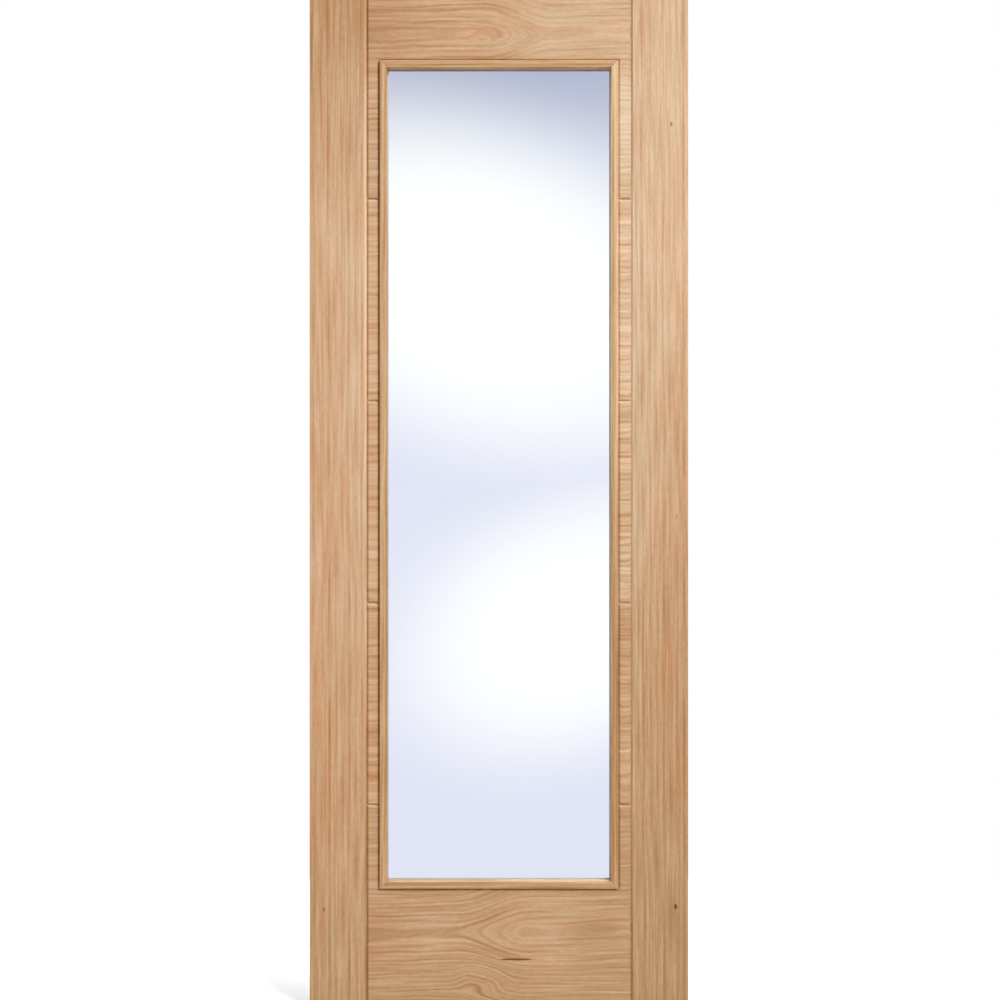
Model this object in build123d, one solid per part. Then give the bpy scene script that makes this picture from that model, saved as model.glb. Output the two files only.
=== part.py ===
"""Oak door leaf with one tall clear light, held between mitred glazing beads.

Millimetres, +Z up, +X across the leaf. The front face looks along -Y.
The origin is on the flat face of the hanging edge, at the foot of the leaf and half way through it.
"""

import os

from build123d import *

# Leaf
LEAF_HEIGHT = 2032.0
LEAF_WIDTH = 762.0
LEAF_THICKNESS = 35.0
ARRIS_RADIUS = 1.5

# Stiles, each with a solid lipping on its outer edge
STILE_WIDTH = 115.0
LIPPING_THICKNESS = 10.0

# Cross-grained boards between the stiles, and what is left of them round the light
BOARD_COUNT = 5
TOP_RAIL_HEIGHT = 127.5
BOTTOM_RAIL_HEIGHT = 239.0
MARGIN_WIDTH = 26.0

# V grooves beside the stiles and between the boards, and the half V that sets off the beads
STILE_GROOVE_WIDTH = 7.0
STILE_GROOVE_DEPTH = 4.5
BOARD_GROOVE_WIDTH = 7.0
BOARD_GROOVE_DEPTH = 4.5
CHANNEL_WIDTH = 4.0
CHANNEL_DEPTH = 3.5

# Glazing bead section
BEAD_WIDTH = 15.5
BEAD_PROUD = 6.5
BEAD_ROUND = 1.5
BEAD_FLAT_WIDTH = 6.5
BEAD_BEVEL_DROP = 1.0
BEAD_REVEAL_LEAN = 2.0

# Glass and what it is bedded on
GLASS_THICKNESS = 6.0
GLASS_EDGE_CLEARANCE = 4.0
TAPE_THICKNESS = 1.0
TAPE_SHOW = 1.5
SETTING_BLOCK_LENGTH = 100.0
SETTING_BLOCK_INSET = 60.0

# Planes and lines that the pieces share
HALF_THICKNESS = LEAF_THICKNESS / 2
GLASS_BED = GLASS_THICKNESS / 2 + TAPE_THICKNESS
LEFT_GROOVE = STILE_WIDTH
RIGHT_GROOVE = LEAF_WIDTH - STILE_WIDTH
LIGHT_LEFT = LEFT_GROOVE + MARGIN_WIDTH
LIGHT_RIGHT = RIGHT_GROOVE - MARGIN_WIDTH
LIGHT_FOOT = BOTTOM_RAIL_HEIGHT
LIGHT_HEAD = LEAF_HEIGHT - TOP_RAIL_HEIGHT
LIGHT_WIDTH = LIGHT_RIGHT - LIGHT_LEFT
LIGHT_HEIGHT = LIGHT_HEAD - LIGHT_FOOT
LIGHT_CENTRE = Pos((LIGHT_LEFT + LIGHT_RIGHT) / 2, 0, (LIGHT_FOOT + LIGHT_HEAD) / 2)
GROOVE_HEIGHTS = [LEAF_HEIGHT * n / BOARD_COUNT for n in range(1, BOARD_COUNT)]
NEAR = 0.01


def slab(outline, half_depth=HALF_THICKNESS):
    """A flat piece whose front outline is drawn as (x, z) points."""
    front = make_face(Polyline([(x, 0, z) for x, z in outline], close=True))
    return extrude(front, half_depth, dir=(0, 1, 0), both=True)


def rectangle(left, foot, right, head):
    return [(left, foot), (right, foot), (right, head), (left, head)]


def lies_on(place, lines):
    return any(abs(place - line) < NEAR for line in lines)


def face_edges(face, uprights=(), levels=()):
    """Edges of a front or back face that lie on the named upright or level lines."""
    edges = face.edges()
    standing = edges.filter_by(Axis.Z).filter_by(lambda edge: lies_on(edge.center().X, uprights))
    lying = edges.filter_by(Axis.X).filter_by(lambda edge: lies_on(edge.center().Z, levels))
    return standing + lying


def grooved(piece, width, depth, uprights=(), levels=()):
    """One side of a groove, cut along the named upright and level sides of both faces."""
    for side in (0, -1):
        face = piece.faces().sort_by(Axis.Y)[side]
        edges = face_edges(face, uprights, levels)
        piece = chamfer(edges, width, depth, reference=face)
    return piece


def stile_grooved(piece, uprights):
    return grooved(piece, STILE_GROOVE_WIDTH / 2, STILE_GROOVE_DEPTH, uprights=uprights)


def board_grooved(piece, levels):
    return grooved(piece, BOARD_GROOVE_WIDTH / 2, BOARD_GROOVE_DEPTH, levels=levels)


def channelled(piece, uprights, levels=()):
    return grooved(piece, CHANNEL_WIDTH, CHANNEL_DEPTH, uprights, levels)


def stile(outer, groove):
    """One stile, from the back of its lipping to the middle of the long groove."""
    piece = slab(rectangle(min(outer, groove), 0, max(outer, groove), LEAF_HEIGHT))
    return stile_grooved(piece, [groove])


def lipping(edge, inner):
    """A solid lipping with the two long arrises of the leaf eased."""
    piece = slab(rectangle(min(edge, inner), 0, max(edge, inner), LEAF_HEIGHT))
    faces = piece.faces().sort_by(Axis.Y)
    arrises = face_edges(faces[0], [edge]) + face_edges(faces[-1], [edge])
    return fillet(arrises, ARRIS_RADIUS)


def end_board(end, groove, light_edge):
    """The top or bottom board: a rail with a leg down each side of the light, in one piece."""
    piece = slab(
        [
            (LEFT_GROOVE, groove),
            (LEFT_GROOVE, end),
            (RIGHT_GROOVE, end),
            (RIGHT_GROOVE, groove),
            (LIGHT_RIGHT, groove),
            (LIGHT_RIGHT, light_edge),
            (LIGHT_LEFT, light_edge),
            (LIGHT_LEFT, groove),
        ]
    )
    piece = stile_grooved(piece, [LEFT_GROOVE, RIGHT_GROOVE])
    piece = board_grooved(piece, [groove])
    return channelled(piece, [LIGHT_LEFT, LIGHT_RIGHT], [light_edge])


def side_board(groove, light_edge, foot, head):
    """One short board beside the light, between two level grooves."""
    left, right = sorted((groove, light_edge))
    piece = slab(rectangle(left, foot, right, head))
    piece = stile_grooved(piece, [groove])
    piece = board_grooved(piece, [foot, head])
    return channelled(piece, [light_edge])


def bead_section():
    """The bead across its length: x runs in from the light's edge, y out from mid-thickness."""
    crown = HALF_THICKNESS + BEAD_PROUD
    flat_end = BEAD_ROUND + BEAD_FLAT_WIDTH
    bevel_end = BEAD_WIDTH - BEAD_REVEAL_LEAN
    outer_side = Line((0, GLASS_BED), (0, crown - BEAD_ROUND))
    corner = RadiusArc((0, crown - BEAD_ROUND), (BEAD_ROUND, crown), BEAD_ROUND)
    rest = Polyline(
        (BEAD_ROUND, crown),
        (flat_end, crown),
        (bevel_end, crown - BEAD_BEVEL_DROP),
        (BEAD_WIDTH, GLASS_BED),
        (0, GLASS_BED),
    )
    return make_face([outer_side, corner, rest])


def bead(length, reach):
    """A front bead along the foot of a light, mitred at both ends, about the light's centre.

    The length is that of its outer side, and the reach is from the centre to that side.
    """
    across = Plane(origin=(-length / 2, 0, -reach), x_dir=(0, 0, 1), z_dir=(1, 0, 0))
    bar = extrude(across * bead_section(), length)
    mitred = slab(
        [
            (-length / 2, -reach),
            (length / 2, -reach),
            (length / 2 - BEAD_WIDTH, BEAD_WIDTH - reach),
            (BEAD_WIDTH - length / 2, BEAD_WIDTH - reach),
        ],
        HALF_THICKNESS + BEAD_PROUD,
    )
    return bar & mitred


def beads():
    """Four beads round each face of the light."""
    level = bead(LIGHT_WIDTH, LIGHT_HEIGHT / 2)
    upright = bead(LIGHT_HEIGHT, LIGHT_WIDTH / 2)
    turned = {
        "bottom": level,
        "top": Rot(0, 180, 0) * level,
        "left": Rot(0, 90, 0) * upright,
        "right": Rot(0, -90, 0) * upright,
    }
    pieces = {}
    for side, front in turned.items():
        pieces[f"front_{side}_bead"] = LIGHT_CENTRE * front
        pieces[f"back_{side}_bead"] = LIGHT_CENTRE * mirror(front, Plane.XZ)
    return pieces


def light_frame(inset):
    """The light's outline moved in from its edge by an inset."""
    return rectangle(
        LIGHT_LEFT + inset, LIGHT_FOOT + inset, LIGHT_RIGHT - inset, LIGHT_HEAD - inset
    )


def glazing():
    """The pane, the tape that beds it on each side, and the blocks that it stands on."""
    pane_outline = light_frame(GLASS_EDGE_CLEARANCE)
    window = slab(light_frame(BEAD_WIDTH + TAPE_SHOW))
    tape = slab(pane_outline, TAPE_THICKNESS / 2) - window
    tape_place = (GLASS_THICKNESS + TAPE_THICKNESS) / 2
    pieces = {
        "glass_pane": slab(pane_outline, GLASS_THICKNESS / 2),
        "front_glazing_tape": Pos(0, -tape_place, 0) * tape,
        "back_glazing_tape": Pos(0, tape_place, 0) * tape,
    }
    left_start = LIGHT_LEFT + SETTING_BLOCK_INSET
    right_start = LIGHT_RIGHT - SETTING_BLOCK_INSET - SETTING_BLOCK_LENGTH
    for side, start in (("left", left_start), ("right", right_start)):
        end = start + SETTING_BLOCK_LENGTH
        outline = rectangle(start, LIGHT_FOOT, end, LIGHT_FOOT + GLASS_EDGE_CLEARANCE)
        pieces[f"{side}_setting_block"] = slab(outline, GLASS_BED)
    return pieces


def leaf():
    """Stiles, lippings and the cross-grained boards."""
    hanging_inner = LIPPING_THICKNESS
    closing_inner = LEAF_WIDTH - LIPPING_THICKNESS
    pieces = {
        "hanging_stile": stile(hanging_inner, LEFT_GROOVE),
        "closing_stile": stile(closing_inner, RIGHT_GROOVE),
        "hanging_edge_lipping": lipping(0, hanging_inner),
        "closing_edge_lipping": lipping(LEAF_WIDTH, closing_inner),
        "top_board": end_board(LEAF_HEIGHT, GROOVE_HEIGHTS[-1], LIGHT_HEAD),
        "bottom_board": end_board(0, GROOVE_HEIGHTS[0], LIGHT_FOOT),
    }
    sides = {"left": (LEFT_GROOVE, LIGHT_LEFT), "right": (RIGHT_GROOVE, LIGHT_RIGHT)}
    spans = list(zip(GROOVE_HEIGHTS[:-1], GROOVE_HEIGHTS[1:]))
    for side, (groove, light_edge) in sides.items():
        for number, (foot, head) in enumerate(spans, start=2):
            pieces[f"{side}_board_{number}"] = side_board(groove, light_edge, foot, head)
    return pieces


def main():
    os.makedirs("parts", exist_ok=True)
    for name, piece in {**leaf(), **beads(), **glazing()}.items():
        export_step(piece, f"parts/{name}.step")


main()
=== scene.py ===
"""Oak door leaf with one tall clear light: its finishes, a plain studio stage and the camera."""

import math
from typing import NamedTuple

import bpy
from bpy.props import FloatProperty, FloatVectorProperty, PointerProperty
from bpy.types import Operator, Panel, PropertyGroup
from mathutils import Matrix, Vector


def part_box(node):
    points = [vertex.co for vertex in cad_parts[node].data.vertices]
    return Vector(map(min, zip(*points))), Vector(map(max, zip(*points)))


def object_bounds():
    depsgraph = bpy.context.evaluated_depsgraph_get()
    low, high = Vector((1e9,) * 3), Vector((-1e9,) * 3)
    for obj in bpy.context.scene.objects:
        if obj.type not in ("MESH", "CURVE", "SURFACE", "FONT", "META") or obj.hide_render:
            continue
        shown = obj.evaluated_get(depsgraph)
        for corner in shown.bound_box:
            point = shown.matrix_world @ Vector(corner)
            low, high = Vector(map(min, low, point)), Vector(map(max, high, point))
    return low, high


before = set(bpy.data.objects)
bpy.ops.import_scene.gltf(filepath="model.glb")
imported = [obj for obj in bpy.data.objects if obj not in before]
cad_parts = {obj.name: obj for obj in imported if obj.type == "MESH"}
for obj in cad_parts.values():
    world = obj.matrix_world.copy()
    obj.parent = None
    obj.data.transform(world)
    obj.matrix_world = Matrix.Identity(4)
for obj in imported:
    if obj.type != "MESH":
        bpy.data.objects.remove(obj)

bl_info = {
    "name": "Glazed Oak Door Finishes",
    "version": (1, 0, 0),
    "blender": (4, 5, 0),
    "location": "View3D > Sidebar > Door",
    "description": "Finishes the oak, glass and glazing tape of a door leaf and sets its stage",
    "category": "Object",
}

CAD_LOW, CAD_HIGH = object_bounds()

# The leaf's own planes, in metres
LEAF_WIDTH = CAD_HIGH.x - CAD_LOW.x
LEAF_HEIGHT = CAD_HIGH.z - CAD_LOW.z
FRONT_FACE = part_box("top_board")[0].y
MM = 0.001


def linear(hex_colour):
    """An sRGB hex colour as the linear values that shaders and lamps use."""
    channels = [int(hex_colour[n : n + 2], 16) / 255 for n in (1, 3, 5)]
    return tuple(c / 12.92 if c <= 0.04045 else ((c + 0.055) / 1.055) ** 2.4 for c in channels)


def add(tree, kind, links=None, stops=None, **settings):
    """Add one node. Links give its inputs, each as a value, a node or a node with its output.

    Some inputs go by number: a MapRange takes its range at 1 and 2 and gives 3 to 4, and a colour Mix takes
    its colours at 6 and 7 and gives the result at output 2.
    """
    node = tree.nodes.new("ShaderNode" + kind)
    for name, value in settings.items():
        setattr(node, name, value)
    for place, source in (links or {}).items():
        if isinstance(source, bpy.types.Node):
            tree.links.new(source.outputs[0], node.inputs[place])
        elif isinstance(source, tuple) and isinstance(source[0], bpy.types.Node):
            tree.links.new(source[0].outputs[source[1]], node.inputs[place])
        else:
            node.inputs[place].default_value = source
    for number, (place, colour) in enumerate(stops or ()):
        elements = node.color_ramp.elements
        element = elements[number] if number < 2 else elements.new(place)
        element.position = place
        element.color = (*colour, 1.0)
    return node


def new_material(name):
    material = bpy.data.materials.new(name)
    material.use_nodes = True
    material.node_tree.nodes.clear()
    return material, material.node_tree


def dress(node_name, material):
    """Give one CAD node its finish. A name that the frame lacks stops the script."""
    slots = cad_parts[node_name].data.materials
    slots.clear()
    slots.append(material)


class OakSettings(PropertyGroup):
    """Colours and grain sizes that all the oak shares."""

    knot: FloatVectorProperty(
        name="Knot brown",
        description="Pin knots and splits",
        subtype="COLOR", min=0.0, max=1.0, default=linear("#6e3e15"),
    )
    deep: FloatVectorProperty(
        name="Pore brown",
        description="Open pores and the darkest growth lines",
        subtype="COLOR", min=0.0, max=1.0, default=linear("#a0784f"),
    )
    dark: FloatVectorProperty(
        name="Early wood",
        description="The darker side of each growth band",
        subtype="COLOR", min=0.0, max=1.0, default=linear("#b58d65"),
    )
    mean: FloatVectorProperty(
        name="Oak tan",
        description="The colour that most of the face has",
        subtype="COLOR", min=0.0, max=1.0, default=linear("#c9a986"),
    )
    pale: FloatVectorProperty(
        name="Late wood",
        description="The lightest streaks",
        subtype="COLOR", min=0.0, max=1.0, default=linear("#e4cdb3"),
    )
    straw: FloatVectorProperty(
        name="Straw cast",
        description="Cast of the paler patches",
        subtype="COLOR", min=0.0, max=1.0, default=linear("#fffffb"),
    )
    ruddy: FloatVectorProperty(
        name="Ruddy cast",
        description="Cast of the redder patches",
        subtype="COLOR", min=0.0, max=1.0, default=linear("#ffe5d4"),
    )
    honey: FloatVectorProperty(
        name="Honey cast",
        description="Cast of the yellower pieces",
        subtype="COLOR", min=0.0, max=1.0, default=linear("#fff4d8"),
    )
    band_length: FloatProperty(
        name="Band length",
        description="How far a soft band of tone runs along the grain",
        unit="LENGTH", min=0.001, default=450 * MM,
    )
    band_width: FloatProperty(
        name="Band width",
        description="Width of a soft band of tone",
        unit="LENGTH", min=0.001, default=6 * MM,
    )
    fade_length: FloatProperty(
        name="Fade length",
        description="How far a growth line runs before it fades",
        unit="LENGTH", min=0.001, default=170 * MM,
    )
    fade_width: FloatProperty(
        name="Fade width",
        description="Width of the stretches in which growth lines fade together",
        unit="LENGTH", min=0.0001, default=5 * MM,
    )
    stroke_length: FloatProperty(
        name="Stroke length",
        description="Length of the short strokes between the growth lines",
        unit="LENGTH", min=0.001, default=120 * MM,
    )
    stroke_width: FloatProperty(
        name="Stroke width",
        description="Width of a short stroke, drawn wide enough to show from across a room",
        unit="LENGTH", min=0.0001, default=3.9 * MM,
    )
    pore_length: FloatProperty(
        name="Pore length",
        description="Length of an open pore cut along the grain",
        unit="LENGTH", min=0.001, default=14 * MM,
    )
    pore_width: FloatProperty(
        name="Pore width",
        description="Width of an open pore, drawn wide enough to show from across a room",
        unit="LENGTH", min=0.0001, default=2.6 * MM,
    )
    cloud: FloatProperty(
        name="Cloud size",
        description="Size of the broad patches of tone and cast",
        unit="LENGTH", min=0.001, default=70 * MM,
    )
    roughness: FloatProperty(
        name="Roughness",
        description="How matt the thin satin lacquer is",
        subtype="FACTOR", min=0.0, max=1.0, default=0.46,
    )


class GlazingSettings(PropertyGroup):
    """The clear pane, the tape that beds it and the blocks that it stands on."""

    tint: FloatVectorProperty(
        name="Tint",
        description="The faint green of clear float glass",
        subtype="COLOR", min=0.0, max=1.0, default=linear("#fbfefd"),
    )
    tape: FloatVectorProperty(
        name="Tape",
        description="The grey of the glazing tape",
        subtype="COLOR", min=0.0, max=1.0, default=linear("#cbc7c6"),
    )
    block: FloatVectorProperty(
        name="Setting block",
        description="The near black of the setting blocks",
        subtype="COLOR", min=0.0, max=1.0, default=linear("#38383a"),
    )


class StageSettings(PropertyGroup):
    """Camera, lamps and background."""

    lens: FloatProperty(
        name="Lens",
        description="Focal length: long, so that the leaf is seen nearly square on",
        subtype="DISTANCE_CAMERA", min=1.0, default=70.0,
    )
    picture_height: FloatProperty(
        name="Picture height",
        description="How much of the leaf's face the square picture takes in",
        unit="LENGTH", min=0.01, default=2012.7 * MM,
    )
    key_power: FloatProperty(
        name="Key lamp",
        description="Power of the soft lamp above and to the right of the front",
        unit="POWER", min=0.0, default=335.0,
    )
    back_power: FloatProperty(
        name="Back lamp",
        description="Power of the soft lamp behind the leaf",
        unit="POWER", min=0.0, default=120.0,
    )
    fill: FloatProperty(
        name="Fill",
        description="Strength of the even light from all round",
        min=0.0, default=0.36,
    )


class Spot(NamedTuple):
    """A round place in the front face: its middle, half sizes, what it adds and how soft its rim is."""

    x: float
    z: float
    half_width: float
    half_height: float
    adds: float
    soft: float = 1.0


class Log(NamedTuple):
    """How one piece of oak was cut from its tree, in metres.

    The heart is a point on the tree's middle line, and along is the way that line runs. The grain
    wanders to the side by about a quarter of wander. Lines and streak are the strength of the growth
    lines and of the soft bands, and coarse is how wide those bands are. Tone and drift are lightness,
    drift as stops up the leaf. Ruddy is how far the colour leans from straw to red, and honey how far from
    there to yellow. The marks are darker or lighter patches, and the narrow ones along grooves, arrises and
    reveals are painted highlights and painted shade. Blushes are redder or paler patches, knots are pin
    knots and splits, and burls push the growth rings in or out.
    """

    heart: tuple
    along: tuple
    ring: float
    wander: float
    wander_length: float
    lines: float = 0.3
    streak: float = 1.0
    coarse: float = 1.0
    tone: float = 0.0
    drift: tuple = ()
    ruddy: float = 0.0
    honey: float = 0.0
    marks: tuple = ()
    blushes: tuple = ()
    knots: tuple = ()
    burls: tuple = ()


SPOT_DEPTH = 12 * MM
RING_UNEVEN = 0.8       # how far a growth ring strays from its even place, in rings

# Tone runs from 0 for a knot to 1 for the palest streak
PORE_TONE = 0.06        # the darkest that sound wood gets
EARLY_TONE = 0.3
MEAN_TONE = 0.58
LINE_MEAN = 0.28        # what full growth lines take off the tone on average, given back to the face
BAND_DEPTH = 0.5
STROKE_DEPTH = 0.11
PORE_LIGHT, PORE_DARK = 0.05, -0.06
CLOUD_DEPTH = 0.06
EARLY_MATT, LATE_SHEEN = 0.08, -0.06


def streaks(tree, grain, length, width, detail):
    """Noise drawn out along the grain, with streaks about this long and this wide."""
    size = (1 / length, 1 / width, 1 / width)
    drawn = add(tree, "VectorMath", {0: grain, 1: size}, operation="MULTIPLY")
    return add(tree, "TexNoise", {"Vector": drawn, "Scale": 1.0, "Detail": detail})


def ellipse_reach(tree, place, middle, half):
    """How far each point lies from a middle, where 1 is the rim of the ellipse of these half sizes."""
    away = add(tree, "VectorMath", {0: place, 1: middle}, operation="SUBTRACT")
    scaled = add(tree, "VectorMath", {0: away, 1: half}, operation="DIVIDE")
    return add(tree, "VectorMath", {0: scaled}, operation="LENGTH"), "Value"


def spotted(tree, place, spots):
    """What the soft spots add at each point, as a node, or 0 where there are none."""
    total = 0.0
    for spot in spots:
        middle = (spot.x, FRONT_FACE, spot.z)
        half = (spot.half_width, SPOT_DEPTH, spot.half_height)
        reach = ellipse_reach(tree, (place, "Object"), middle, half)
        inside = add(
            tree, "MapRange",
            {"Value": reach, 1: 1 - spot.soft / 2, 2: 1 + spot.soft / 2, 3: spot.adds, 4: 0.0},
            interpolation_type="SMOOTHSTEP",
        )
        total = add(tree, "Math", {0: inside, 1: total}, operation="ADD")
    return total


def oak(name, log, shared):
    """Rift and flat sawn oak under a thin satin lacquer.

    Soft bands of tone and growth lines lie round the tree's heart, and short open pores run along it,
    so a face shows straight lines or nested arches by how the board was cut.
    """
    material, tree = new_material(name)
    turn = Vector((1, 0, 0)).rotation_difference(Vector(log.along)).to_euler()
    place = add(tree, "TexCoord")
    heart = add(
        tree, "Mapping",
        {"Vector": (place, "Object"), "Location": log.heart, "Rotation": turn}, vector_type="TEXTURE",
    )
    slow = streaks(tree, heart, log.wander_length, log.wander_length / 4, 2.0)
    centred = add(tree, "VectorMath", {0: (slow, "Color"), 1: (0.5, 0.5, 0.5)}, operation="SUBTRACT")
    stray = (0.0, log.wander, log.wander)
    grain = add(tree, "VectorMath", {0: centred, 1: stray, 2: heart}, operation="MULTIPLY_ADD")

    across = add(tree, "VectorMath", {0: grain, 1: (0.0, 1.0, 1.0)}, operation="MULTIPLY")
    radius = add(tree, "VectorMath", {0: across}, operation="LENGTH")
    depth = add(tree, "Math", {0: (radius, "Value"), 1: spotted(tree, place, log.burls)}, operation="ADD")
    length = add(tree, "SeparateXYZ", {0: grain})
    layer = add(tree, "CombineXYZ", {0: (length, "X"), 1: depth})

    count = add(tree, "Math", {0: depth, 1: log.ring}, operation="DIVIDE")
    uneven = add(tree, "TexNoise", {"W": count, "Scale": 0.45, "Detail": 1.0}, noise_dimensions="1D")
    ring = add(tree, "Math", {0: uneven, 1: RING_UNEVEN, 2: count}, operation="MULTIPLY_ADD")
    phase = add(tree, "Math", {0: ring}, operation="FRACT")
    number = add(tree, "Math", {0: ring}, operation="FLOOR")
    chance = add(tree, "TexWhiteNoise", {"W": number}, noise_dimensions="1D")
    strength = add(tree, "MapRange", {"Value": chance, 3: 0.35, 4: 1.0})
    shades = ((0.0, 0.0), (0.22, 0.9), (0.36, 0.9), (0.7, 0.1), (1.0, 0.0))
    line = add(tree, "ValToRGB", {"Fac": phase}, stops=[(part, (shade,) * 3) for part, shade in shades])
    growth = add(tree, "Math", {0: line, 1: strength}, operation="MULTIPLY")

    band = streaks(tree, layer, shared.band_length, log.coarse * shared.band_width, 0.0)
    fade = streaks(tree, layer, shared.fade_length, log.coarse * shared.fade_width, 1.0)
    stroke = streaks(tree, layer, shared.stroke_length, shared.stroke_width, 0.0)
    pore = streaks(tree, grain, shared.pore_length, shared.pore_width, 1.0)
    cloud = streaks(tree, grain, 4 * shared.cloud, shared.cloud, 2.0)
    blush = streaks(tree, grain, 3 * shared.cloud, shared.cloud / 3, 1.0)
    shown = add(tree, "MapRange", {"Value": fade, 1: 0.3, 2: 0.7, 3: 0.1, 4: 1.9})
    broken = add(tree, "Math", {0: growth, 1: shown}, operation="MULTIPLY")

    contrast = BAND_DEPTH * log.streak
    middle = 0.5 + LINE_MEAN * log.lines + log.tone - contrast / 2
    figure = add(tree, "Math", {0: band, 1: contrast, 2: middle}, operation="MULTIPLY_ADD")
    layers = [
        add(tree, "Math", {0: broken, 1: -log.lines}, operation="MULTIPLY"),
        add(tree, "MapRange", {"Value": stroke, 1: 0.25, 2: 0.75, 3: STROKE_DEPTH, 4: -STROKE_DEPTH}),
        add(tree, "MapRange", {"Value": pore, 1: 0.3, 2: 0.7, 3: PORE_LIGHT, 4: PORE_DARK}),
        add(tree, "MapRange", {"Value": cloud, 1: 0.25, 2: 0.75, 3: -CLOUD_DEPTH, 4: CLOUD_DEPTH}),
        spotted(tree, place, log.marks),
    ]
    if log.drift:
        height = add(tree, "SeparateXYZ", {0: (place, "Object")})
        share = add(tree, "Math", {0: (height, "Z"), 1: LEAF_HEIGHT}, operation="DIVIDE")
        stops = [(rise, (0.5 + tone,) * 3) for rise, tone in log.drift]
        lightness = add(tree, "ValToRGB", {"Fac": share}, stops=stops)
        layers.append(add(tree, "Math", {0: lightness, 1: 0.5}, operation="SUBTRACT"))
    for layer_tone in layers:
        figure = add(tree, "Math", {0: figure, 1: layer_tone}, operation="ADD")
    sound = add(tree, "Math", {0: figure, 1: PORE_TONE}, operation="MAXIMUM")
    figure = add(tree, "Math", {0: sound, 1: spotted(tree, place, log.knots)}, operation="ADD")

    tone = add(
        tree, "ValToRGB", {"Fac": figure},
        stops=[
            (0.0, shared.knot),
            (PORE_TONE, shared.deep),
            (EARLY_TONE, shared.dark),
            (MEAN_TONE, shared.mean),
            (1.0, shared.pale),
        ],
    )
    low, high = 0.25 + log.ruddy, 0.75 + log.ruddy
    patch = add(tree, "MapRange", {"Value": blush, 1: 0.35, 2: 0.65, 3: low, 4: high})
    lean = add(tree, "Math", {0: patch, 1: spotted(tree, place, log.blushes)}, operation="ADD")
    red = add(tree, "Mix", {0: lean, 6: (*shared.straw, 1.0), 7: (*shared.ruddy, 1.0)}, data_type="RGBA")
    cast = add(tree, "Mix", {0: log.honey, 6: (red, 2), 7: (*shared.honey, 1.0)}, data_type="RGBA")
    colour = add(tree, "Mix", {0: 1.0, 6: tone, 7: (cast, 2)}, data_type="RGBA", blend_type="MULTIPLY")
    early, late = shared.roughness + EARLY_MATT, shared.roughness + LATE_SHEEN
    matt = add(tree, "MapRange", {"Value": figure, 1: 0.2, 2: 0.9, 3: early, 4: late})
    relief = add(tree, "Bump", {"Height": figure, "Strength": 0.2, "Distance": 0.3 * MM})
    lacquer = add(
        tree, "BsdfPrincipled",
        {
            "Base Color": (colour, 2), "Roughness": matt, "Normal": relief,
            "IOR": 1.5, "Specular IOR Level": 0.35,
        },
    )
    add(tree, "OutputMaterial", {"Surface": lacquer})
    return material


STILE_LOGS = {
    "hanging_stile": Log(
        heart=(-0.16, 0.09, 0.0), along=(0.004, 0.010, 1.0),
        ring=12 * MM, wander=5 * MM, wander_length=0.5, lines=0.23, streak=0.1, ruddy=0.1, honey=0.12,
        drift=((0.12, -0.13), (0.38, 0.13), (0.76, 0.17), (1.0, -0.18)),
        marks=(
            # painted highlight along the stile's side of the groove, higher up
            Spot(0.1115, 1.5, 2.2 * MM, 0.45, 0.4),
            # painted shade deepening the groove at the foot
            Spot(0.1134, 0.15, 1.6 * MM, 0.35, -0.3),
        ),
        blushes=(
            Spot(0.0, 1.0, 0.06, 0.8, 0.3),
            Spot(0.05, 0.0, 0.15, 0.25, -0.4),
        ),
        knots=(Spot(0.029, 0.196, 1.5 * MM, 4 * MM, -0.46),),
    ),
    "closing_stile": Log(
        heart=(0.95, 0.10, 0.0), along=(-0.006, 0.006, 1.0),
        ring=12 * MM, wander=5 * MM, wander_length=0.5, lines=0.2, streak=0.1, ruddy=-0.45,
        drift=((0.08, -0.26), (0.35, -0.13), (0.68, 0.13), (1.0, 0.0)),
        marks=(
            # painted highlight along the stile's side of the groove
            Spot(0.6485, 0.95, 2.5 * MM, 0.9, 0.35),
            Spot(0.762, 0.6, 0.06, 0.8, -0.06),
        ),
        blushes=(
            Spot(0.762, 1.0, 0.07, 0.8, 0.38),
            Spot(0.72, 0.0, 0.15, 0.25, -0.4),
        ),
        knots=(
            Spot(0.728, 1.777, 2 * MM, 4.5 * MM, -0.62),
            Spot(0.7366, 0.202, 2.5 * MM, 4.2 * MM, -0.9),
            Spot(0.739, 0.987, 1 * MM, 3.5 * MM, -0.45),
        ),
    ),
}
BOARD_COUNT = 5
BOARD_PITCH = LEAF_HEIGHT / BOARD_COUNT


def middle_across(node_name):
    """Where the middle of a CAD node is, across the leaf."""
    low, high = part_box(node_name)
    return (low.x + high.x) / 2


LEFT_MARGIN = middle_across("left_board_3")
RIGHT_MARGIN = middle_across("right_board_3")


def painted_arris_highlight(across, number):
    """A painted highlight on the upper arris of a numbered board, where the lower slope of the groove along
    its head faces up into the light.
    """
    return Spot(across, number * BOARD_PITCH - 2.2 * MM, 40 * MM, 2.8 * MM, 0.28)


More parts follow.
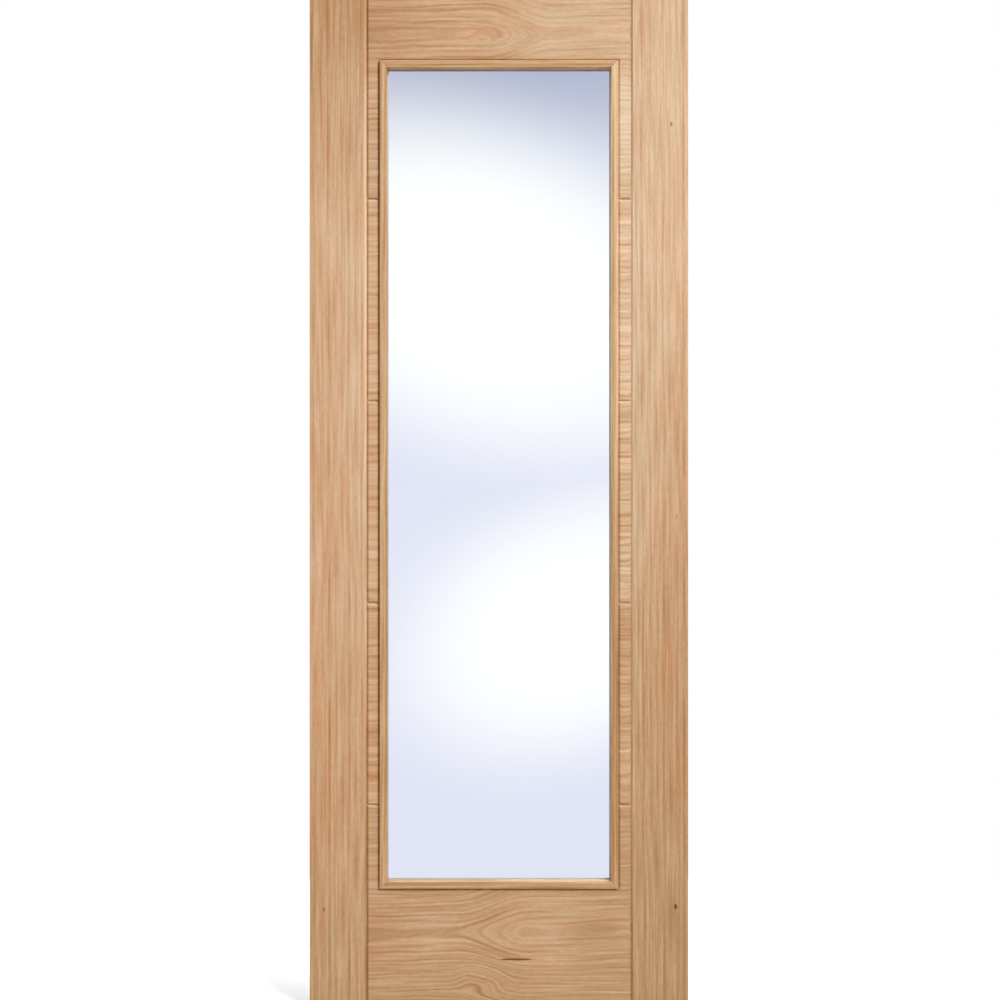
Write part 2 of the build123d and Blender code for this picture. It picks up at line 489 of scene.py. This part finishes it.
LEFT_BOARD = Log(
    heart=(0.2, 0.12, 0.3), along=(1.0, 0.0, 0.02),
    ring=18 * MM, wander=16 * MM, wander_length=0.1, lines=0.22, streak=0.75, coarse=2.0,
    ruddy=0.35, honey=0.3,
)
RIGHT_BOARD = Log(
    heart=(0.4, 0.13, 0.35), along=(1.0, 0.0, -0.02),
    ring=10 * MM, wander=16 * MM, wander_length=0.1, lines=0.28, streak=1.0, coarse=2.4, ruddy=-0.08,
)
# The pale spot on each board's upper arris, under its level groove, is a painted highlight.
BOARD_LOGS = {
    "top_board": Log(
        heart=(0.3, -0.001, 1.959), along=(1.0, 0.0, 0.01),
        ring=10 * MM, wander=16 * MM, wander_length=0.2, lines=0.18, streak=0.5, coarse=1.6, tone=-0.05,
        marks=(
            Spot(0.16, 1.98, 0.11, 0.07, -0.1),
            Spot(LEFT_MARGIN, 1.76, 0.04, 0.12, 0.08),
            Spot(RIGHT_MARGIN, 1.76, 0.04, 0.12, 0.27),
        ),
        blushes=(Spot(0.64, 1.9, 0.22, 0.35, -0.4),),
        burls=(
            Spot(0.7, 1.959, 0.28, 0.6, 32 * MM, 0.5),
            Spot(0.347, 1.953, 18 * MM, 10 * MM, 8 * MM),
        ),
    ),
    "bottom_board": Log(
        heart=(0.3, 0.0025, 0.15), along=(1.0, 0.0, 0.02),
        ring=9 * MM, wander=16 * MM, wander_length=0.25, lines=0.17, streak=0.35, coarse=1.4, tone=-0.15,
        ruddy=-0.12,
        marks=(
            Spot(0.66, 0.2, 0.16, 0.3, -0.06),
            Spot(LEFT_MARGIN, 0.3, 0.04, 0.1, 0.06),
            painted_arris_highlight(LEFT_MARGIN, 1),
            painted_arris_highlight(RIGHT_MARGIN, 1),
        ),
        blushes=(
            Spot(0.4, 0.1, 0.2, 0.3, -0.2),
            Spot(0.68, 0.1, 0.16, 0.3, -0.35),
        ),
        knots=(Spot(0.416, 0.0957, 30 * MM, 1.9 * MM, -0.7),),
        burls=(
            Spot(0.08, 0.15, 0.29, 0.6, 32 * MM, 0.5),
            Spot(0.345, 0.06, 45 * MM, 26 * MM, 14 * MM),
        ),
    ),
    "left_board_2": LEFT_BOARD._replace(tone=0.03, marks=(painted_arris_highlight(LEFT_MARGIN, 2),)),
    "left_board_3": LEFT_BOARD._replace(
        heart=(0.3, 0.15, 0.6), along=(1.0, 0.0, -0.03), tone=0.14,
        marks=(painted_arris_highlight(LEFT_MARGIN, 3),),
    ),
    "left_board_4": LEFT_BOARD._replace(
        heart=(0.1, 0.11, 1.0), along=(1.0, 0.0, 0.02), tone=0.15,
        marks=(painted_arris_highlight(LEFT_MARGIN, 4),),
    ),
    "right_board_2": RIGHT_BOARD._replace(tone=-0.1, marks=(painted_arris_highlight(RIGHT_MARGIN, 2),)),
    "right_board_3": RIGHT_BOARD._replace(
        heart=(0.5, 0.12, 0.62), along=(1.0, 0.0, 0.03), tone=0.1,
        marks=(painted_arris_highlight(RIGHT_MARGIN, 3),),
    ),
    "right_board_4": RIGHT_BOARD._replace(
        heart=(0.6, 0.14, 1.05), along=(1.0, 0.0, 0.0), tone=0.2,
        marks=(painted_arris_highlight(RIGHT_MARGIN, 4),),
    ),
}
LEVEL_BEAD = Log(
    heart=(0.3, 0.05, 0.0), along=(1.0, 0.0, 0.006),
    ring=6 * MM, wander=4 * MM, wander_length=0.3, lines=0.3, tone=-0.06, honey=0.5,
)
UPRIGHT_BEAD = Log(
    heart=(0.0, 0.06, 0.4), along=(0.004, 0.0, 1.0),
    ring=6 * MM, wander=4 * MM, wander_length=0.3, lines=0.3, tone=-0.06, honey=0.7,
)
BEAD_LOGS = {
    "top": LEVEL_BEAD,
    "bottom": LEVEL_BEAD._replace(tone=-0.28, ruddy=-0.5, honey=0.1),
    "left": UPRIGHT_BEAD._replace(
        tone=-0.11, drift=((0.5, 0.0), (0.68, 0.08), (0.88, -0.04)),
        # painted shade along the left bead's reveal by the glass
        marks=(Spot(0.1557, 0.95, 2 * MM, 0.75, -0.4),),
    ),
    "right": UPRIGHT_BEAD._replace(
        drift=((0.2, -0.22), (0.4, -0.17), (0.6, 0.17), (0.8, 0.25)),
        # painted light along the right bead's reveal by the glass, lifting its shade
        marks=(Spot(0.6063, 1.0, 2 * MM, 1.2, 0.3),),
    ),
}


class DOOR_OT_stiles(Operator):
    """Finish the two stiles and the lippings on their edges"""

    bl_idname = "door.stiles"
    bl_label = "Stiles"

    def execute(self, context):
        for side in ("hanging", "closing"):
            log = STILE_LOGS[f"{side}_stile"]
            material = oak(f"Rift cut oak, {side} stile", log, context.scene.door_oak)
            dress(f"{side}_stile", material)
            dress(f"{side}_edge_lipping", material)
        return {"FINISHED"}


class DOOR_OT_boards(Operator):
    """Finish the cross-grained boards between the stiles"""

    bl_idname = "door.boards"
    bl_label = "Boards"

    def execute(self, context):
        for name, log in BOARD_LOGS.items():
            title = name.replace("_", " ")
            dress(name, oak(f"Flat sawn oak, {title}", log, context.scene.door_oak))
        return {"FINISHED"}


class DOOR_OT_beads(Operator):
    """Finish the glazing beads, with the grain along each one"""

    bl_idname = "door.beads"
    bl_label = "Beads"

    def execute(self, context):
        for side, log in BEAD_LOGS.items():
            material = oak(f"Straight oak, {side} beads", log, context.scene.door_oak)
            for face in ("front", "back"):
                dress(f"{face}_{side}_bead", material)
        return {"FINISHED"}


def float_glass(tint):
    """Clear float glass: smooth, faintly green, with the slightest roll in its surface."""
    roll_length = 300 * MM
    material, tree = new_material("Clear float glass")
    place = add(tree, "TexCoord")
    roll = add(tree, "TexNoise", {"Vector": (place, "Object"), "Scale": 1 / roll_length, "Detail": 0.0})
    wave = add(tree, "Bump", {"Height": roll, "Strength": 0.05, "Distance": 0.2 * MM})
    pane = add(
        tree, "BsdfPrincipled",
        {
            "Base Color": (*tint, 1.0), "Roughness": 0.0, "IOR": 1.52,
            "Transmission Weight": 1.0, "Normal": wave,
        },
    )
    passing = add(tree, "BsdfTransparent", {"Color": (*tint, 1.0)})
    path = add(tree, "LightPath")
    surface = add(tree, "MixShader", {0: (path, "Is Shadow Ray"), 1: pane, 2: passing})
    add(tree, "OutputMaterial", {"Surface": surface})
    return material


class DOOR_OT_pane(Operator):
    """Finish the clear pane"""

    bl_idname = "door.pane"
    bl_label = "Pane"

    def execute(self, context):
        dress("glass_pane", float_glass(context.scene.door_glazing.tint))
        return {"FINISHED"}


def closed_cell_foam(grey):
    """Grey closed-cell foam tape: matt, with a fine mottle from its cells."""
    cell = 1.2 * MM        # real cells are finer, and are drawn this coarse so that they show
    material, tree = new_material("Closed-cell foam tape")
    place = add(tree, "TexCoord")
    cells = add(tree, "TexVoronoi", {"Vector": (place, "Object"), "Scale": 1 / cell})
    shade = tuple(0.7 * channel for channel in grey)
    colour = add(tree, "ValToRGB", {"Fac": (cells, "Distance")}, stops=[(0.0, shade), (0.7, tuple(grey))])
    relief = add(tree, "Bump", {"Height": (cells, "Distance"), "Strength": 0.4, "Distance": 0.2 * MM})
    skin = add(tree, "BsdfPrincipled", {"Base Color": colour, "Roughness": 0.8, "Normal": relief})
    add(tree, "OutputMaterial", {"Surface": skin})
    return material


class DOOR_OT_tape(Operator):
    """Finish the tape that beds the pane on each side"""

    bl_idname = "door.tape"
    bl_label = "Glazing tape"

    def execute(self, context):
        foam = closed_cell_foam(context.scene.door_glazing.tape)
        for face in ("front", "back"):
            dress(f"{face}_glazing_tape", foam)
        return {"FINISHED"}


def moulded_rubber(black):
    """Moulded hard rubber: near black, satin, with the fine grain of its mould."""
    grit = 0.8 * MM        # coarser than a real mould's grain, so that it shows
    material, tree = new_material("Moulded hard rubber")
    place = add(tree, "TexCoord")
    grain = add(tree, "TexNoise", {"Vector": (place, "Object"), "Scale": 1 / grit, "Detail": 2.0})
    light = tuple(1.3 * channel for channel in black)
    colour = add(tree, "ValToRGB", {"Fac": grain}, stops=[(0.3, tuple(black)), (0.7, light)])
    relief = add(tree, "Bump", {"Height": grain, "Strength": 0.3, "Distance": 0.1 * MM})
    skin = add(tree, "BsdfPrincipled", {"Base Color": colour, "Roughness": 0.6, "Normal": relief})
    add(tree, "OutputMaterial", {"Surface": skin})
    return material


class DOOR_OT_blocks(Operator):
    """Finish the setting blocks that the pane stands on"""

    bl_idname = "door.blocks"
    bl_label = "Setting blocks"

    def execute(self, context):
        rubber = moulded_rubber(context.scene.door_glazing.block)
        for side in ("left", "right"):
            dress(f"{side}_setting_block", rubber)
        return {"FINISHED"}


# Studio, in metres, with the camera's sensor in millimetres
LEAF_CENTRE = Vector((LEAF_WIDTH / 2, 0.0, LEAF_HEIGHT / 2))
VIEW_POINT = Vector((LEAF_WIDTH / 2 + 2.1 * MM, FRONT_FACE, 1020.3 * MM))
SENSOR = 36.0
KEY_PLACE = Vector((3.2, -4.1, 4.2))
KEY_SIZE = 1.8
KEY_COLOUR = linear("#f6faff")
BACK_PLACE = Vector((0.4, 2.2, 4.4))
BACK_SIZE = 2.0
BACK_COLOUR = linear("#ffffff")
FLOOR_CENTRE = Vector((LEAF_WIDTH / 2, 0.0, 0.0))
FLOOR_DEPTH = 2.6
FLOOR_WIDTH = 7.0

# The floor pales between these distances from its middle, by a glow that only the eye, glass and gloss see
FADE_START, FADE_END = 0.4, FLOOR_DEPTH / 2
LIFT_NEAR, LIFT_FAR = 0.2, 0.5


class Cloud(NamedTuple):
    """A bright cloud, by the way to its middle, its half sizes and how far its level axis drops."""

    across: float
    up: float
    half_width: float
    half_height: float
    drop: float


# What glass and gloss see: haze that darkens upwards and pales to the floor, and clouds all round.
# Heights are sines of the angle above level, and widths are angles.
CLOUD_TURN = math.pi / 9        # the clouds repeat after this angle
CLOUD_CORE = 0.3                # share of a cloud's half sizes that is full white
GROUND_HIGH, GROUND_LOW = -0.21, -0.27
HAZE_LOW, HAZE_HIGH = 0.12, 0.25
HAZE_PALE = linear("#e4e5f7")
HAZE_BLUE = linear("#a9aec9")
CLOUD_WHITE = (1.05, 1.05, 1.05, 1.0)
CLOUDS = (
    Cloud(-0.01, 0.107, 0.175, 0.116, 0.25),
    Cloud(0.045, -0.0714, 0.13, 0.094, -0.22),
)


def mirrored_ray(tree, path):
    """1 for a ray that comes through glass or off gloss."""
    rays = {0: (path, "Is Glossy Ray"), 1: (path, "Is Transmission Ray")}
    return add(tree, "Math", rays, operation="MAXIMUM")


def studio_world(fill):
    """Even white light. The camera sees plain white, and glass and gloss see a pale hazy sky."""
    world = bpy.data.worlds.new("Studio")
    world.use_nodes = True
    tree = world.node_tree
    tree.nodes.clear()
    path = add(tree, "LightPath")
    way = add(tree, "TexCoord")
    part = add(tree, "SeparateXYZ", {0: (way, "Generated")})
    bearing = add(tree, "Math", {0: (part, "X"), 1: (part, "Y")}, operation="ARCTAN2")
    turn = add(tree, "Math", {0: bearing, 1: CLOUD_TURN / 2, 2: -CLOUD_TURN / 2}, operation="WRAP")
    glow = 0.0
    for cloud in CLOUDS:
        rise = add(tree, "Math", {0: turn, 1: cloud.drop, 2: (part, "Z")}, operation="MULTIPLY_ADD")
        way_there = add(tree, "CombineXYZ", {0: turn, 1: rise})
        middle = (cloud.across, cloud.up, 0.0)
        half = (cloud.half_width, cloud.half_height, 1.0)
        reach = ellipse_reach(tree, way_there, middle, half)
        bright = add(
            tree, "MapRange", {"Value": reach, 1: CLOUD_CORE, 2: 1.0, 3: 1.0, 4: 0.0},
            interpolation_type="SMOOTHSTEP",
        )
        glow = add(tree, "Math", {0: bright, 1: glow}, operation="MAXIMUM")
    dusk = add(
        tree, "MapRange", {"Value": (part, "Z"), 1: HAZE_LOW, 2: HAZE_HIGH}, interpolation_type="SMOOTHSTEP"
    )
    haze = add(tree, "Mix", {0: dusk, 6: (*HAZE_PALE, 1.0), 7: (*HAZE_BLUE, 1.0)}, data_type="RGBA")
    ground = add(tree, "MapRange", {"Value": (part, "Z"), 1: GROUND_HIGH, 2: GROUND_LOW})
    white = add(tree, "Math", {0: glow, 1: ground}, operation="MAXIMUM")
    sky = add(tree, "Mix", {0: white, 6: (haze, 2), 7: CLOUD_WHITE}, data_type="RGBA")
    even = add(tree, "Background", {"Color": (1, 1, 1, 1), "Strength": fill})
    plain = add(tree, "Background", {"Color": (1, 1, 1, 1), "Strength": 1.0})
    hazy = add(tree, "Background", {"Color": (sky, 2), "Strength": 1.0})
    direct = add(tree, "Math", {0: (path, "Diffuse Depth"), 1: 0.5}, operation="LESS_THAN")
    mirrored = add(tree, "Math", {0: mirrored_ray(tree, path), 1: direct}, operation="MULTIPLY")
    glassy = add(tree, "MixShader", {0: mirrored, 1: even, 2: hazy})
    seen = add(tree, "MixShader", {0: (path, "Is Camera Ray"), 1: glassy, 2: plain})
    add(tree, "OutputWorld", {"Surface": seen})
    return world


def pale_floor():
    """Matt white sheet: it keeps the leaf's shadow round the foot and pales to white further out."""
    patch = 400 * MM
    material, tree = new_material("Matt white floor")
    place = add(tree, "TexCoord")
    mottle = add(tree, "TexNoise", {"Vector": (place, "Object"), "Scale": 1 / patch, "Detail": 2.0})
    colour = add(
        tree, "ValToRGB", {"Fac": mottle}, stops=[(0.0, linear("#e6e6e6")), (1.0, linear("#ececec"))]
    )
    matt = add(tree, "BsdfDiffuse", {"Color": colour})
    path = add(tree, "LightPath")
    mirrored = mirrored_ray(tree, path)
    seen = add(tree, "Math", {0: (path, "Is Camera Ray"), 1: mirrored}, operation="MAXIMUM")
    away = add(tree, "VectorMath", {0: (place, "Object"), 1: FLOOR_CENTRE}, operation="DISTANCE")
    fade = add(
        tree, "MapRange",
        {"Value": (away, "Value"), 1: FADE_START, 2: FADE_END, 3: LIFT_NEAR, 4: LIFT_FAR},
        interpolation_type="SMOOTHSTEP",
    )
    lift = add(tree, "Math", {0: seen, 1: fade}, operation="MULTIPLY")
    glow = add(tree, "Emission", {"Color": (1, 1, 1, 1), "Strength": lift})
    both = add(tree, "AddShader", {0: matt, 1: glow})
    add(tree, "OutputMaterial", {"Surface": both})
    return material


def soft_lamp(name, place, size, power, colour):
    """A square soft lamp that points at the middle of the leaf."""
    angles = (LEAF_CENTRE - place).to_track_quat("-Z", "Y").to_euler()
    bpy.ops.object.light_add(type="AREA", location=place, rotation=angles)
    lamp = bpy.context.object
    lamp.name = name
    lamp.data.size = size
    lamp.data.energy = power
    lamp.data.color = colour


class DOOR_OT_stage(Operator):
    """Set the floor, the lamps, the background and the camera"""

    bl_idname = "door.stage"
    bl_label = "Stage"

    def execute(self, context):
        stage = context.scene.door_stage
        bpy.ops.object.select_all(action="DESELECT")
        bpy.ops.mesh.primitive_plane_add(size=1.0, location=FLOOR_CENTRE)
        floor = context.object
        floor.name = "floor"
        floor.scale = (FLOOR_WIDTH, FLOOR_DEPTH, 1.0)
        bpy.ops.object.transform_apply(location=True, rotation=True, scale=True)
        floor.data.materials.append(pale_floor())

        soft_lamp("key_lamp", KEY_PLACE, KEY_SIZE, stage.key_power, KEY_COLOUR)
        soft_lamp("back_lamp", BACK_PLACE, BACK_SIZE, stage.back_power, BACK_COLOUR)
        context.scene.world = studio_world(stage.fill)

        distance = stage.picture_height * stage.lens / SENSOR
        bpy.ops.object.camera_add(
            location=VIEW_POINT + Vector((0.0, -distance, 0.0)), rotation=(math.pi / 2, 0.0, 0.0)
        )
        camera = context.object
        camera.data.lens = stage.lens
        camera.data.sensor_width = SENSOR
        context.scene.camera = camera
        context.scene.view_settings.view_transform = "Standard"
        return {"FINISHED"}


class DOOR_PT_finishes(Panel):
    """The door's finishes, in the order that they are made"""

    bl_idname = "DOOR_PT_finishes"
    bl_label = "Glazed Oak Door"
    bl_space_type = "VIEW_3D"
    bl_region_type = "UI"
    bl_category = "Door"

    def draw(self, context):
        for operator in OPERATORS:
            self.layout.operator(operator.bl_idname)
        for name, group in GROUPS.items():
            box = self.layout.box()
            for setting in group.__annotations__:
                box.prop(getattr(context.scene, name), setting)


GROUPS = {"door_oak": OakSettings, "door_glazing": GlazingSettings, "door_stage": StageSettings}
OPERATORS = (
    DOOR_OT_stiles, DOOR_OT_boards, DOOR_OT_beads,
    DOOR_OT_pane, DOOR_OT_tape, DOOR_OT_blocks, DOOR_OT_stage,
)
CLASSES = (*GROUPS.values(), *OPERATORS, DOOR_PT_finishes)


def register():
    for kind in CLASSES:
        bpy.utils.register_class(kind)
    for name, group in GROUPS.items():
        setattr(bpy.types.Scene, name, PointerProperty(type=group))


def unregister():
    for name in GROUPS:
        delattr(bpy.types.Scene, name)
    for kind in reversed(CLASSES):
        bpy.utils.unregister_class(kind)


def main():
    register()
    bpy.ops.door.stiles()
    bpy.ops.door.boards()
    bpy.ops.door.beads()
    bpy.ops.door.pane()
    bpy.ops.door.tape()
    bpy.ops.door.blocks()
    bpy.ops.door.stage()


if __name__ == "__main__":
    main()
